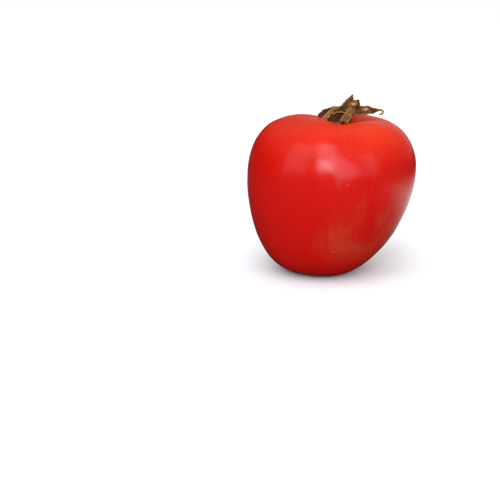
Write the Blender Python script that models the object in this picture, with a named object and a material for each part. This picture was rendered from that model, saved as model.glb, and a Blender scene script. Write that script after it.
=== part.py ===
"""A ripe tomato with its dried calyx, standing on the small flat spot under it.

The fruit is one piece: a rounded body with a stem cavity, shallow shoulder furrows and a flat spot.
A woody stem stub stands in the cavity, and seven dried sepals spread from its receptacle.
Everything is built about the fruit's own axis and hangs under one empty, which puts the middle of
the whole tomato's underside at the world origin. Metres, +Z up, front towards -Y.
"""
import math

import bmesh
import bpy
import numpy as np

MM = 0.001

# Fruit, overall
FRUIT_WIDTH = 66.0 * MM
FRUIT_DEPTH = 64.0 * MM
FRUIT_HEIGHT = 62.6 * MM      # pole to pole, before the stem cavity and the flat spot
FLAT_SPOT_RISE = 0.4 * MM     # how far above the lower pole the flat spot lies

# Fruit, section: shares of the half width, by level from -1 (lower pole) to 1 (upper pole)
SHOULDER_FULLNESS = 0.266
SHOULDER_FULLNESS_RIGHT = 0.131
WAIST_FULLNESS = -0.102
WAIST_FULLNESS_RIGHT = -0.095
CROWN_FULLNESS = -0.042
POLE_FLATTENING = 0.45

# Fruit, stem cavity
CAVITY_X = 6.0 * MM
CAVITY_Y = 0.0
CAVITY_DEPTH = 3.0 * MM
CAVITY_REACH = 9.0 * MM

# Fruit, shoulder furrows: bearing in degrees from +X, depth, half width in degrees
FURROWS = (
    (-72.0, 1.1 * MM, 20.0),
    (-8.0, 0.3 * MM, 18.0),
    (102.0, 1.9 * MM, 26.0),
    (205.0, 0.4 * MM, 20.0),
)
FURROW_PEAK = 2.6             # brings the furrow's profile along the shoulder to 1 at its deepest

# Fruit, mesh
FRUIT_SIDES = 48
FRUIT_ROWS = 40

# Fruit, how finely its size and the height of its skin are worked out
SIZE_BEARINGS = 361
SIZE_LEVELS = 301
LOWEST_TOP_LEVEL = 0.5        # the skin's height is only asked for above this level
HALVINGS = 30

# Clearance between pieces that touch
FIT_GAP = 0.3 * MM

# Receptacle and stem stub
RECEPTACLE_FOOT_RADIUS = 2.1 * MM
RECEPTACLE_WAIST_RADIUS = 1.6 * MM
RECEPTACLE_RADIUS = 2.2 * MM
RECEPTACLE_HEIGHT = 4.8 * MM
RECEPTACLE_LEAN = (1.4 * MM, -0.3 * MM)
RIM_THICKNESS = 1.1 * MM
FOOT_TOP_SHARE = 0.3          # of the height below the rim: where the foot starts to narrow
WAIST_SHARE = 0.7             # of the height below the rim: where it is narrowest
FOOT_SAMPLES = 24
STUB_RADIUS = 1.3 * MM
STUB_END_RADIUS = 1.35 * MM
STUB_RUN = ((0.0, 0.0, 0.5), (0.3, -0.2, 1.5), (1.6, -0.5, 2.4), (3.7, -0.8, 2.8))
STEM_SIDES = 14
STUB_RINGS = 8

# Sepals
SEPAL_THICKNESS = 0.4 * MM
SEPAL_ROOT_WIDTH = 1.9 * MM
SEPAL_STATIONS = 14
SEPAL_STRIPS = 4

# Each sepal: the bearing of its root on the receptacle, how much its belly adds to its width and
# how far along it lies, its tip's width, the share of its length that is blade and not thread, how
# far its edges turn up (down if negative), the way its face looks at the root and at the tip, and
# its run from the root in millimetres.
SEPALS = {
    "sepal_right": {
        "bearing": 3.0, "belly": 2.5 * MM, "belly_place": 0.8, "tip": 0.5 * MM, "blade": 0.57, "curl": 0.15,
        "faces": ((0.0, -0.6, 0.8), (0.0, -0.8, 0.6)),
        "run": ((1.3, 0.0, 0.2), (4.0, -0.1, 0.0), (6.5, -0.2, -0.2), (8.0, -0.3, 0.1),
                (9.3, -0.4, 0.3), (10.2, -0.4, -0.2), (9.9, -0.5, -1.2), (8.8, -0.5, -1.5)),
    },
    "sepal_front_right": {
        "bearing": -45.0, "belly": 0.5 * MM, "belly_place": 1.2, "tip": 3.9 * MM, "blade": 1.0,
        "curl": -0.2,
        "faces": ((0.3, -0.8, 0.5), (-0.1, -0.5, 0.85)),
        "run": ((-0.1, -0.9, 1.0), (-1.1, -2.6, 1.1), (-2.6, -4.6, 0.1), (-3.7, -6.4, -1.4),
                (-4.2, -7.9, -2.6)),
    },
    "sepal_front": {
        "bearing": -90.0, "belly": 2.0 * MM, "belly_place": 0.9, "tip": 1.0 * MM, "blade": 1.0, "curl": 0.2,
        "faces": ((0.0, -0.8, 0.6), (-0.1, -0.85, 0.5)),
        "run": ((-0.4, -1.2, -0.9), (-2.4, -2.5, -1.6), (-4.6, -3.2, -2.1), (-6.4, -3.5, -2.6)),
    },
    "sepal_front_left": {
        "bearing": -135.0, "belly": 2.0 * MM, "belly_place": 0.9, "tip": 2.0 * MM, "blade": 1.0,
        "curl": 0.2,
        "faces": ((-0.3, -0.6, 0.8), (-0.3, -0.5, 0.85)),
        "run": ((-1.0, -0.8, 0.8), (-2.9, -1.3, 0.7), (-4.7, -1.8, -0.1), (-6.2, -2.3, -1.1),
                (-7.1, -2.6, -1.8)),
    },
    "sepal_left": {
        "bearing": 180.0, "belly": 1.8 * MM, "belly_place": 0.9, "tip": 1.2 * MM, "blade": 1.0,
        "curl": 0.2,
        "faces": ((-0.4, -0.2, 0.9), (-0.5, -0.4, 0.8)),
        "run": ((-1.6, 0.4, 0.3), (-4.1, 0.8, -0.1), (-6.3, 0.9, -0.7), (-8.1, 0.9, -1.6),
                (-9.0, 0.8, -2.2)),
    },
    "sepal_upright": {
        "bearing": 130.0, "belly": 2.2 * MM, "belly_place": 0.85, "tip": 0.3 * MM, "blade": 1.0,
        "curl": 0.15,
        "faces": ((0.5, -0.85, 0.2), (0.1, -0.95, 0.1)),
        "run": ((-0.3, 0.0, 1.2), (0.9, -0.4, 2.8), (2.4, -0.6, 4.6), (3.0, -0.8, 6.5)),
    },
    "sepal_back": {
        "bearing": 68.0, "belly": 1.7 * MM, "belly_place": 0.8, "tip": 0.7 * MM, "blade": 1.0, "curl": 0.2,
        "faces": ((0.4, 0.6, 0.7), (0.1, 0.3, 0.95)),
        "run": ((0.4, 1.6, 0.5), (0.8, 4.0, 0.5), (1.1, 6.5, -0.2), (1.3, 8.6, -1.0)),
    },
}

# Colours, linear RGB
SKIN_RED = (0.62, 0.022, 0.010)
STUB_BROWN = (0.16, 0.070, 0.028)
SEPAL_BROWNS = {
    "sepal_right": (0.14, 0.055, 0.020),
    "sepal_front_right": (0.24, 0.120, 0.045),
    "sepal_front": (0.06, 0.035, 0.018),
    "sepal_front_left": (0.22, 0.110, 0.045),
    "sepal_left": (0.10, 0.042, 0.018),
    "sepal_upright": (0.19, 0.100, 0.038),
    "sepal_back": (0.13, 0.058, 0.024),
}
SKIN_ROUGHNESS = 0.22
DRY_ROUGHNESS = 0.85


def clear_scene():
    """Removes every object, so that the model starts from nothing."""
    for item in list(bpy.data.objects):
        bpy.data.objects.remove(item, do_unlink=True)


def plain_material(name, colour, roughness):
    """A Principled material with one colour and one roughness."""
    material = bpy.data.materials.new(name)
    material.use_nodes = True
    shader = material.node_tree.nodes["Principled BSDF"]
    shader.inputs["Base Color"].default_value = (*colour, 1.0)
    shader.inputs["Roughness"].default_value = roughness
    shader.inputs["Metallic"].default_value = 0.0
    return material


def mesh_object(name, points, faces, material, parent):
    """An object from points and faces, shaded smooth, under the parent."""
    mesh = bpy.data.meshes.new(name)
    mesh.from_pydata([tuple(point) for point in points], [], faces)
    mesh.validate()
    mesh.shade_smooth()
    mesh.materials.append(material)
    piece = bpy.data.objects.new(name, mesh)
    piece.parent = parent
    bpy.context.collection.objects.link(piece)
    return piece


# The fruit's surface ----------------------------------------------------------------------------

def breadth(level, bearing):
    """Half breadth of the plain body, as a share: a circle's, times a cubic in the level."""
    shoulder = SHOULDER_FULLNESS + SHOULDER_FULLNESS_RIGHT * np.cos(bearing)
    waist = WAIST_FULLNESS + WAIST_FULLNESS_RIGHT * np.cos(bearing)
    fullness = 1.0 + shoulder * level + waist * level**2 + CROWN_FULLNESS * level**3
    return np.sqrt(np.maximum(1.0 - level**2, 0.0)) * fullness


def rise(level):
    """Height of the plain body at a level, flattened towards both poles."""
    return 0.5 * FRUIT_HEIGHT * (level - POLE_FLATTENING * (level**3 - level))


def plain_scale():
    """Metres per share of breadth along X and Y, so that the body gets its width and depth."""
    bearing, angle = np.meshgrid(np.linspace(0.0, math.tau, SIZE_BEARINGS),
                                 np.linspace(-0.5 * math.pi, 0.5 * math.pi, SIZE_LEVELS))
    reach = breadth(np.sin(angle), bearing)
    return (FRUIT_WIDTH / np.ptp(reach * np.cos(bearing)),
            FRUIT_DEPTH / np.ptp(reach * np.sin(bearing)))


SCALE_X, SCALE_Y = plain_scale()


def furrow_depth(level, bearing):
    """Depth of the shoulder furrows: bell curves round the fruit, over the upper half only."""
    depth = np.zeros_like(level)
    for middle, deepest, half_width in FURROWS:
        turn = np.degrees(bearing) - middle
        turn = (turn + 180.0) % 360.0 - 180.0
        depth = depth + deepest * np.exp(-(turn / half_width)**2)
    upper = np.maximum(level, 0.0)
    return depth * FURROW_PEAK * upper**2 * np.sqrt(np.maximum(1.0 - level**2, 0.0))


def cavity_depth(x, y):
    """Depth of the stem cavity at a place: a bell curve about the stem."""
    away = ((x - CAVITY_X)**2 + (y - CAVITY_Y)**2) / CAVITY_REACH**2
    return CAVITY_DEPTH * np.exp(-away)


def skin(level, bearing):
    """Points of the fruit's skin: the plain body, less its furrows and its stem cavity."""
    furrow = furrow_depth(level, bearing)
    round_share = np.sqrt(np.maximum(1.0 - level**2, 0.0))
    x = (SCALE_X * breadth(level, bearing) - furrow * round_share) * np.cos(bearing)
    y = (SCALE_Y * breadth(level, bearing) - furrow * round_share) * np.sin(bearing)
    z = rise(level) - furrow * level
    z = z - np.where(level > 0.0, cavity_depth(x, y), 0.0)
    return np.stack([x, y, z], axis=-1)


def skin_height(x, y):
    """Height of the skin above a place near the stem, found by halving the range of the level."""
    bearing = np.arctan2(y / SCALE_Y, x / SCALE_X)
    reach = np.hypot(x / SCALE_X, y / SCALE_Y)
    low = np.full_like(reach, LOWEST_TOP_LEVEL)
    high = np.ones_like(reach)
    for _ in range(HALVINGS):
        level = 0.5 * (low + high)
        inside = breadth(level, bearing) > reach
        low = np.where(inside, level, low)
        high = np.where(inside, high, level)
    return rise(level) - furrow_depth(level, bearing) * level - cavity_depth(x, y)


def make_fruit(parent):
    """The fruit: rows of skin points between two poles, cut flat where it stands."""
    bearings = np.arange(FRUIT_SIDES) * math.tau / FRUIT_SIDES
    angles = np.linspace(-0.5 * math.pi, 0.5 * math.pi, FRUIT_ROWS + 1)[1:-1]
    bearing, angle = np.meshgrid(bearings, angles)
    rows = skin(np.sin(angle), bearing).reshape(-1, 3)
    poles = skin(np.array([-1.0, 1.0]), np.zeros(2))
    points = np.concatenate([rows, poles])
    low_pole = len(rows)
    high_pole = low_pole + 1
    top_row = (FRUIT_ROWS - 2) * FRUIT_SIDES
    faces = []
    for side in range(FRUIT_SIDES):
        following = (side + 1) % FRUIT_SIDES
        faces.append((low_pole, following, side))
        faces.append((high_pole, top_row + side, top_row + following))
        for row in range(0, top_row, FRUIT_SIDES):
            faces.append((row + side, row + following,
                          row + FRUIT_SIDES + following, row + FRUIT_SIDES + side))
    material = plain_material("skin_red", SKIN_RED, SKIN_ROUGHNESS)
    fruit = mesh_object("fruit", points, faces, material, parent)
    flatten_spot(fruit.data)
    return fruit


def flat_spot_height():
    """Height of the flat spot on the fruit's own axis."""
    return rise(-1.0) + FLAT_SPOT_RISE


def flatten_spot(mesh):
    """Cuts the underside off at the flat spot and closes the cut with one face."""
    body = bmesh.new()
    body.from_mesh(mesh)
    geometry = body.verts[:] + body.edges[:] + body.faces[:]
    bmesh.ops.bisect_plane(body, geom=geometry, plane_co=(0.0, 0.0, flat_spot_height()),
                           plane_no=(0.0, 0.0, 1.0), clear_inner=True)
    rim = [edge for edge in body.edges if edge.is_boundary]
    cut = bmesh.ops.contextual_create(body, geom=rim)
    for face in cut["faces"]:
        face.smooth = False
    bmesh.ops.recalc_face_normals(body, faces=body.faces)
    body.to_mesh(mesh)
    body.free()


# The stem and the sepals ------------------------------------------------------------------------

def smooth_run(knots, stations):
    """Points along a smooth curve through the knots, at shares of the knots' own spacing."""
    knots = np.asarray(knots, dtype=float)
    spacing = np.linalg.norm(np.diff(knots, axis=0), axis=1)
    marks = np.concatenate([[0.0], np.cumsum(spacing)])
    ahead = np.concatenate([knots[1:], knots[-1:]])
    behind = np.concatenate([knots[:1], knots[:-1]])
    mark_ahead = np.concatenate([marks[1:], marks[-1:]])
    mark_behind = np.concatenate([marks[:1], marks[:-1]])
    slopes = (ahead - behind) / (mark_ahead - mark_behind)[:, None]
    places = np.asarray(stations) * marks[-1]
    piece = np.clip(np.searchsorted(marks, places, side="right") - 1, 0, len(knots) - 2)
    length = spacing[piece][:, None]
    share = ((places - marks[piece]) / spacing[piece])[:, None]
    start = (1.0 + 2.0 * share) * (1.0 - share)**2 * knots[piece]
    start = start + share * (1.0 - share)**2 * length * slopes[piece]
    end = share**2 * (3.0 - 2.0 * share) * knots[piece + 1]
    end = end - share**2 * (1.0 - share) * length * slopes[piece + 1]
    return start + end


def directions(points):
    """Unit directions along a run of points."""
    ahead = np.gradient(points, axis=0)
    return ahead / np.linalg.norm(ahead, axis=1)[:, None]


def receptacle_base():
    """The middle of the receptacle's underside, clear of the cavity's floor."""
    turn = np.arange(FOOT_SAMPLES) * math.tau / FOOT_SAMPLES
    x = CAVITY_X + RECEPTACLE_FOOT_RADIUS * np.cos(turn)
    y = CAVITY_Y + RECEPTACLE_FOOT_RADIUS * np.sin(turn)
    return np.array([CAVITY_X, CAVITY_Y, skin_height(x, y).max() + FIT_GAP])


def ring(middle, direction, radius):
    """A ring of points square to a direction."""
    first = np.cross((0.0, 1.0, 0.0), direction)
    first = first / np.linalg.norm(first)
    second = np.cross(direction, first)
    turn = (np.arange(STEM_SIDES) * math.tau / STEM_SIDES)[:, None]
    return middle + radius * (np.cos(turn) * first + np.sin(turn) * second)


def receptacle_lean(share):
    """How far the receptacle has leaned over at a share of its height."""
    return share * np.array([*RECEPTACLE_LEAN, RECEPTACLE_HEIGHT])


def make_stem_stub(parent):
    """The stem: a leaning receptacle with a rim, and a stub that bends away and ends broken."""
    base = receptacle_base()
    up = np.array([0.0, 0.0, 1.0])
    rim_share = 1.0 - RIM_THICKNESS / RECEPTACLE_HEIGHT
    rings = [
        ring(base, up, RECEPTACLE_FOOT_RADIUS),
        ring(base + receptacle_lean(FOOT_TOP_SHARE * rim_share), up, RECEPTACLE_FOOT_RADIUS),
        ring(base + receptacle_lean(WAIST_SHARE * rim_share), up, RECEPTACLE_WAIST_RADIUS),
        ring(base + receptacle_lean(rim_share), up, RECEPTACLE_RADIUS),
        ring(base + receptacle_lean(1.0), up, RECEPTACLE_RADIUS),
    ]
    start = base + receptacle_lean(1.0)
    run = smooth_run(start + MM * np.array(STUB_RUN), np.linspace(0.0, 1.0, STUB_RINGS))
    flare = np.linspace(0.0, 1.0, STUB_RINGS)**2
    radii = STUB_RADIUS + (STUB_END_RADIUS - STUB_RADIUS) * flare
    for middle, direction, radius in zip(run, directions(run), radii):
        rings.append(ring(middle, direction, radius))
    points = np.concatenate(rings)
    faces = [tuple(reversed(range(STEM_SIDES)))]
    last = (len(rings) - 1) * STEM_SIDES
    for row in range(0, last, STEM_SIDES):
        for side in range(STEM_SIDES):
            following = (side + 1) % STEM_SIDES
            faces.append((row + side, row + following,
                          row + STEM_SIDES + following, row + STEM_SIDES + side))
    faces.append(tuple(range(last, last + STEM_SIDES)))
    material = plain_material("stub_brown", STUB_BROWN, DRY_ROUGHNESS)
    return mesh_object("stem_stub", points, faces, material, parent)


def sepal_width(sepal, stations):
    """Width along a sepal: a tapering root, a belly, and a tip or a thread at the tip's width."""
    share = np.minimum(stations / sepal["blade"], 1.0)
    belly = sepal["belly"] * np.sin(math.pi * share**sepal["belly_place"])
    return SEPAL_ROOT_WIDTH * (1.0 - share) + belly + sepal["tip"] * share


def make_sepal(name, sepal, parent):
    """One dried sepal: a curled strip along its run, kept clear of the skin and thickened."""
    bearing = math.radians(sepal["bearing"])
    away = np.array([math.cos(bearing), math.sin(bearing), 0.0])
    root = receptacle_base() + receptacle_lean(1.0 - 0.5 * RIM_THICKNESS / RECEPTACLE_HEIGHT)
    root = root + (RECEPTACLE_RADIUS + FIT_GAP + SEPAL_THICKNESS) * away
    stations = np.linspace(0.0, 1.0, SEPAL_STATIONS + 1)
    knots = np.concatenate([[root], root + MM * np.array(sepal["run"])])
    middle = smooth_run(knots, stations)
    ahead = directions(middle)
    root_face, tip_face = np.array(sepal["faces"])
    face = root_face + stations[:, None] * (tip_face - root_face)
    aside = np.cross(ahead, face)
    aside = aside / np.linalg.norm(aside, axis=1)[:, None]
    face = np.cross(aside, ahead)
    half = 0.5 * sepal_width(sepal, stations)
    across = np.linspace(-1.0, 1.0, SEPAL_STRIPS + 1)
    offset = half[:, None, None] * across[None, :, None]
    grid = middle[:, None, :] + offset * aside[:, None, :]
    grid = grid + sepal["curl"] * half[:, None, None] * across[None, :, None]**2 * face[:, None, :]
    floor = skin_height(grid[..., 0], grid[..., 1]) + FIT_GAP
    grid[..., 2] = np.maximum(grid[..., 2], floor)
    columns = SEPAL_STRIPS + 1
    faces = []
    for row in range(SEPAL_STATIONS):
        for column in range(SEPAL_STRIPS):
            corner = row * columns + column
            faces.append((corner, corner + 1, corner + columns + 1, corner + columns))
    material = plain_material(name + "_brown", SEPAL_BROWNS[name], DRY_ROUGHNESS)
    piece = mesh_object(name, grid.reshape(-1, 3), faces, material, parent)
    wall = piece.modifiers.new("thickness", "SOLIDIFY")
    wall.thickness = SEPAL_THICKNESS
    wall.offset = 1.0
    return piece


# Assembly ---------------------------------------------------------------------------------------

def main():
    """Builds every piece and stands the tomato with the middle of its underside on the origin."""
    clear_scene()
    axis = bpy.data.objects.new("tomato_axis", None)
    bpy.context.collection.objects.link(axis)
    fruit = make_fruit(axis)
    make_stem_stub(axis)
    for name, sepal in SEPALS.items():
        make_sepal(name, sepal, axis)
    points = np.array([vertex.co for vertex in fruit.data.vertices])
    lowest = points.min(axis=0)
    highest = points.max(axis=0)
    middle = 0.5 * (lowest + highest)
    axis.location = (-middle[0], -middle[1], -lowest[2])


main()
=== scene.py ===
"""A ripe tomato with its dried calyx, finished for close views.

The skin, the woody stem and the seven dried sepals are surfaces worked out with numpy, each a
function of two parameters on a grid. The skin follows the same rules as the CAD fruit, with fine
relief added, and the sepals follow the same runs as the CAD ones, with folds and torn edges.
Everything is in metres in the frame's own axes: +Z up, front towards -Y.
"""
import math

import bpy
import numpy as np
from bpy.props import FloatProperty, FloatVectorProperty, PointerProperty
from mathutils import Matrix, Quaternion, Vector


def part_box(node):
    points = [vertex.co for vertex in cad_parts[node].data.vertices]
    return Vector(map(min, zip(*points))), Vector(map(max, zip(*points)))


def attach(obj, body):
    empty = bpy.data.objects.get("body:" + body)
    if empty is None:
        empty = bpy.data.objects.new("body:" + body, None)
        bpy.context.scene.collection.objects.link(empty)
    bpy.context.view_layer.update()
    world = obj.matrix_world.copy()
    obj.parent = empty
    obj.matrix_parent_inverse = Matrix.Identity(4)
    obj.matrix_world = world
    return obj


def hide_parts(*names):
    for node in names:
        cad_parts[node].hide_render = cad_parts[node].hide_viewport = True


bl_info = {
    "name": "Ripe Tomato",
    "version": (1, 0, 0),
    "blender": (4, 5, 0),
    "location": "View3D > Sidebar > Tomato",
    "description": "Makes a ripe tomato with a dried calyx, and a plain studio for it",
    "category": "Add Mesh",
}

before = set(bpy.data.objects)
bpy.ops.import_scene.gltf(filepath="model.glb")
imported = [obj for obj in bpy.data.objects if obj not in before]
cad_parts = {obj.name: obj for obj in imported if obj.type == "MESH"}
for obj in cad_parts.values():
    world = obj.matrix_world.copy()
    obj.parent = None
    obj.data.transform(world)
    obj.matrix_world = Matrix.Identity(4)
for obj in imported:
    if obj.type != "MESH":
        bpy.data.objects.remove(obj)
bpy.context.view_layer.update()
FRUIT_LOW, FRUIT_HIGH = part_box("fruit")
BODY = "root"
MM = 0.001

# Fruit, section: shares of the half width, by level from -1 (lower pole) to 1 (upper pole)
SHOULDER_FULLNESS = 0.266
SHOULDER_FULLNESS_RIGHT = 0.131
WAIST_FULLNESS = -0.102
WAIST_FULLNESS_RIGHT = -0.095
CROWN_FULLNESS = -0.042
POLE_FLATTENING = 0.45

# Fruit, shoulder furrows: bearing in degrees from +X, depth, half width in degrees
FURROWS = (
    (-72.0, 1.1 * MM, 20.0),
    (-8.0, 0.3 * MM, 18.0),
    (102.0, 1.9 * MM, 26.0),
    (205.0, 0.4 * MM, 20.0),
)
FURROW_PEAK = 2.6             # brings the furrow's profile along the shoulder to 1 at its deepest

# Fruit, fine relief
LOBES = 5
LOBE_TURN = 0.6
LOBE_TWIST = 0.5              # how far the lobes turn per level
PUCKERS = 11
PUCKER_SPREAD = 1.3           # how unevenly the puckers are spaced, in three groups
PUCKER_GROUPS = 3.0
PUCKER_PLACE = 7.5 * MM       # how far from the stem the puckers are deepest
PUCKER_REACH = 3.2 * MM
SCAR_DIMPLE = 0.5 * MM
SCAR_REACH = 2.4 * MM
SWELLS = 16                   # low waves over the whole skin
SWELL_SEED = 11
SWELL_SHORTEST = 7.0 * MM
SWELL_LONGEST = 24.0 * MM
FOOT_ROUNDING = 0.12 * MM

# Fruit, grids: its own, and the one on which its size is measured
FRUIT_SIDES = 360
FRUIT_ROWS = 240
SIZE_BEARINGS = 361
SIZE_LEVELS = 301
LOWEST_TOP_LEVEL = 0.5        # the skin's height is only asked for above this level
HALVINGS = 30

# Receptacle and stem stub
RECEPTACLE_FOOT_RADIUS = 2.1 * MM
RECEPTACLE_WAIST_RADIUS = 1.6 * MM
RECEPTACLE_RADIUS = 2.2 * MM
RECEPTACLE_HEIGHT = 4.8 * MM
RECEPTACLE_LEAN = (1.4 * MM, -0.3 * MM)
RECEPTACLE_CLEARANCE = 0.3 * MM
RIM_THICKNESS = 1.1 * MM
STUB_RADIUS = 1.3 * MM
STUB_END_RADIUS = 1.35 * MM
STUB_RUN = ((0.0, 0.0, 0.5), (0.3, -0.2, 1.5), (1.6, -0.5, 2.4), (3.7, -0.8, 2.8))
FOOT_SAMPLES = 24
STEM_SIDES = 72
STEM_STATIONS = 110

# Finished stem: how deep its foot reaches, and where its flare ends and its waist lies, as shares
FOOT_DEPTH = 0.06
FLARE_PLACE = 0.35
WAIST_PLACE = 0.75
STEM_RADII = (RECEPTACLE_FOOT_RADIUS, 0.93 * RECEPTACLE_FOOT_RADIUS, 1.02 * RECEPTACLE_WAIST_RADIUS,
              1.04 * RECEPTACLE_RADIUS, 0.92 * RECEPTACLE_RADIUS, STUB_RADIUS, STUB_RADIUS,
              STUB_END_RADIUS)
STEM_RIDGES = ((0.050, 9.0), (0.030, 17.0), (0.035, 3.0))    # height as a share, number round
RIDGE_TURNS = (0.9, -1.3, 0.8)     # how far they turn: the first to and fro, the others steadily
RIDGE_DRIFT = 2.5 * MM        # the length along the stem over which they do so
STUB_EDGE = 0.9 * MM          # how far back from its end the stub is rounded off
STUB_EDGE_LOSS = 0.16         # the share of its radius that it loses there
STUB_END_RINGS = ((0.93, 0.12), (0.78, 0.16), (0.52, -0.02), (0.25, -0.22))   # radius, mm ahead
STUB_END_STEP = 0.3 * MM      # the fibres' step from ring to ring there
STUB_JAG = 0.16 * MM
STUB_JAG_WAVES = (3, 5, 8, 13)
STUB_JAG_SEED = 5
STUB_JAG_REACH = 1.2 * MM
# The stub's pale patch is a painted highlight on its top
STUB_HIGHLIGHT_PLACE = (-0.4 * MM, -1.2 * MM, 0.2 * MM)   # from the third point of its run
STUB_HIGHLIGHT_REACH = 0.95 * MM
STUB_HIGHLIGHT_STRETCH = 1.7

# Sepals
SEPAL_STATIONS = 84
SEPAL_STRIPS = 18
SKIN_CLEARANCE = 0.12 * MM
SEPAL_TUCK = 0.55             # how far out on the receptacle a sepal starts, as a share of its radius
SEED_STEP = 50                # between the seeds of one sepal's waves
EDGE_WAVES = ((1.3, 2.7, 4.9, 8.3), (1.7, 3.1, 5.3, 9.1))    # waves along a sepal, left and right
RUFFLE_WAVES = ((1.2, 2.9, 4.3), (1.4, 2.6, 4.1))
FOLD_WAVES = (1.1, 2.3)
FOLD_DRIFT = 0.8              # how far a sepal's folds wander, in radians
TEAR_WAVES = (1.0, 2.3, 4.1)
THREAD_PALENESS = 1.9         # how pale a thread is beside a sepal's edges
THREAD_START = 0.1            # the share of a sepal's length over which its thread turns pale
GRAIN_STEP = 7.0              # sets each sepal's fibres apart from the next one's, in millimetres

# Each sepal: the bearing of its root on the receptacle in degrees; its width at the root, how much
# its belly adds and how near the tip that lies (1 is halfway), and its tip's width; the share of its
# length that is blade and not thread; the angles that its edges roll up by at the root and at the
# tip (down if negative); how far its end is torn; its lengthwise folds; its tone from 0 (darkest) to
# 1 (palest), partly painted shade on the sepals that lie in shade; the place along it and the reach
# of its pale patch of painted highlight, if it has one; the way its face looks at the root and at
# the tip; and its run from the root in millimetres.
SEPALS = {
    "sepal_right": {
        "bearing": 3.0, "root": 2.8 * MM, "belly": 2.5 * MM, "belly_place": 0.95, "tip": 0.75 * MM,
        "blade": 0.74, "roll": (0.4, 0.8), "tear": 0.0, "folds": 2.5, "tone_and_shade": 0.32,
        "highlight_patch": (0.37, 1.25 * MM),
        "faces": ((0.0, -0.7, 0.7), (0.0, -0.9, 0.5)),
        "run": ((1.3, 0.0, 0.1), (4.0, -0.1, 0.1), (6.5, -0.2, 0.0), (8.6, -0.3, 0.4),
                (9.9, -0.4, 0.5), (10.6, -0.4, 0.0), (10.3, -0.5, -1.0), (9.2, -0.5, -1.3)),
    },
    "sepal_front_right": {
        "bearing": -45.0, "root": 2.0 * MM, "belly": 0.5 * MM, "belly_place": 1.2, "tip": 3.0 * MM,
        "blade": 1.0, "roll": (-0.5, -0.4), "tear": 0.9 * MM, "folds": 3.5, "tone_and_shade": 0.62,
        "faces": ((0.3, -0.8, 0.5), (-0.1, -0.5, 0.85)),
        "run": ((-0.1, -0.9, 1.0), (-1.1, -2.6, 1.1), (-2.6, -4.6, 0.1), (-3.7, -6.4, -1.4),
                (-4.2, -7.9, -2.6)),
    },
    # The front sepal lies low in the calyx's shadow, and its darkest tone is painted shade
    "sepal_front": {
        "bearing": -110.0, "root": 3.2 * MM, "belly": 3.8 * MM, "belly_place": 0.8, "tip": 2.4 * MM,
        "blade": 1.0, "roll": (0.5, 0.7), "tear": 0.8 * MM, "folds": 2.5, "tone_and_shade": 0.0,
        "faces": ((-0.2, -0.8, 0.5), (-0.2, -0.7, 0.7)),
        "run": ((-0.8, -0.9, -0.2), (-2.6, -2.1, -1.1), (-4.9, -3.4, -2.1), (-7.6, -4.4, -3.0)),
    },
    "sepal_front_left": {
        "bearing": -140.0, "root": 2.4 * MM, "belly": 1.6 * MM, "belly_place": 0.9, "tip": 2.2 * MM,
        "blade": 1.0, "roll": (0.4, 0.7), "tear": 0.8 * MM, "folds": 2.5, "tone_and_shade": 0.7,
        "highlight_patch": (0.86, 0.7 * MM),
        "faces": ((-0.3, -0.6, 0.8), (-0.3, -0.5, 0.85)),
        "run": ((-1.0, -0.8, 0.6), (-2.9, -1.3, 0.6), (-4.7, -1.8, -0.1), (-6.2, -2.3, -1.1),
                (-7.1, -2.6, -1.8)),
    },
    # The left sepal is dark brown, and its near-darkest tone is partly painted shade for the shadow it
    # lies in
    "sepal_left": {
        "bearing": 180.0, "root": 2.6 * MM, "belly": 1.8 * MM, "belly_place": 0.8, "tip": 2.0 * MM,
        "blade": 1.0, "roll": (0.4, 0.8), "tear": 0.4 * MM, "folds": 2.0, "tone_and_shade": 0.03,
        "faces": ((-0.4, -0.4, 0.9), (-0.5, -0.5, 0.8)),
        "run": ((-1.6, 0.4, 0.3), (-4.1, 0.6, -0.1), (-6.3, 0.5, -0.7), (-8.1, 0.3, -1.6),
                (-9.0, 0.1, -2.2)),
    },
    "sepal_upright": {
        "bearing": 130.0, "root": 4.6 * MM, "belly": 1.1 * MM, "belly_place": 1.7, "tip": 0.2 * MM,
        "blade": 1.0, "roll": (0.5, 0.4), "tear": 0.0, "folds": 3.0, "tone_and_shade": 0.65,
        "faces": ((0.4, -0.9, 0.2), (0.1, -0.95, 0.1)),
        "run": ((0.2, -0.1, 1.2), (1.2, -0.4, 2.8), (2.3, -0.6, 4.6), (3.0, -0.8, 6.5)),
    },
    "sepal_back": {
        "bearing": 68.0, "root": 2.4 * MM, "belly": 1.7 * MM, "belly_place": 0.8, "tip": 0.7 * MM,
        "blade": 1.0, "roll": (0.4, 0.9), "tear": 0.3 * MM, "folds": 2.5, "tone_and_shade": 0.4,
        "faces": ((0.4, 0.6, 0.7), (0.1, 0.3, 0.95)),
        "run": ((0.4, 1.6, 0.5), (0.8, 4.0, 0.5), (1.1, 6.5, -0.2), (1.3, 8.6, -1.0)),
    },
}


# Marks: the values between which a noise turns into a mask
STREAK_MARKS = (0.50, 0.74)
GLOW_MARKS = (0.25, 0.62)
CLOUD_MARKS = (0.38, 0.66)
SCUFF_MARKS = (0.56, 0.66)
WAX_MARKS = (0.2, 0.8)
FIBRE_MARKS = (0.41, 0.61)

# Skin pattern: how fine its noises are, per metre, and the heights where its colours change
BROAD_NOISE = 42.0
FINE_NOISE = 260.0
PORE_NOISE = 900.0
MOTTLE_NOISE = 110.0
EDGE_WANDER = 0.018           # how far the broad noise moves the edge of the shoulders' colour
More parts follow.
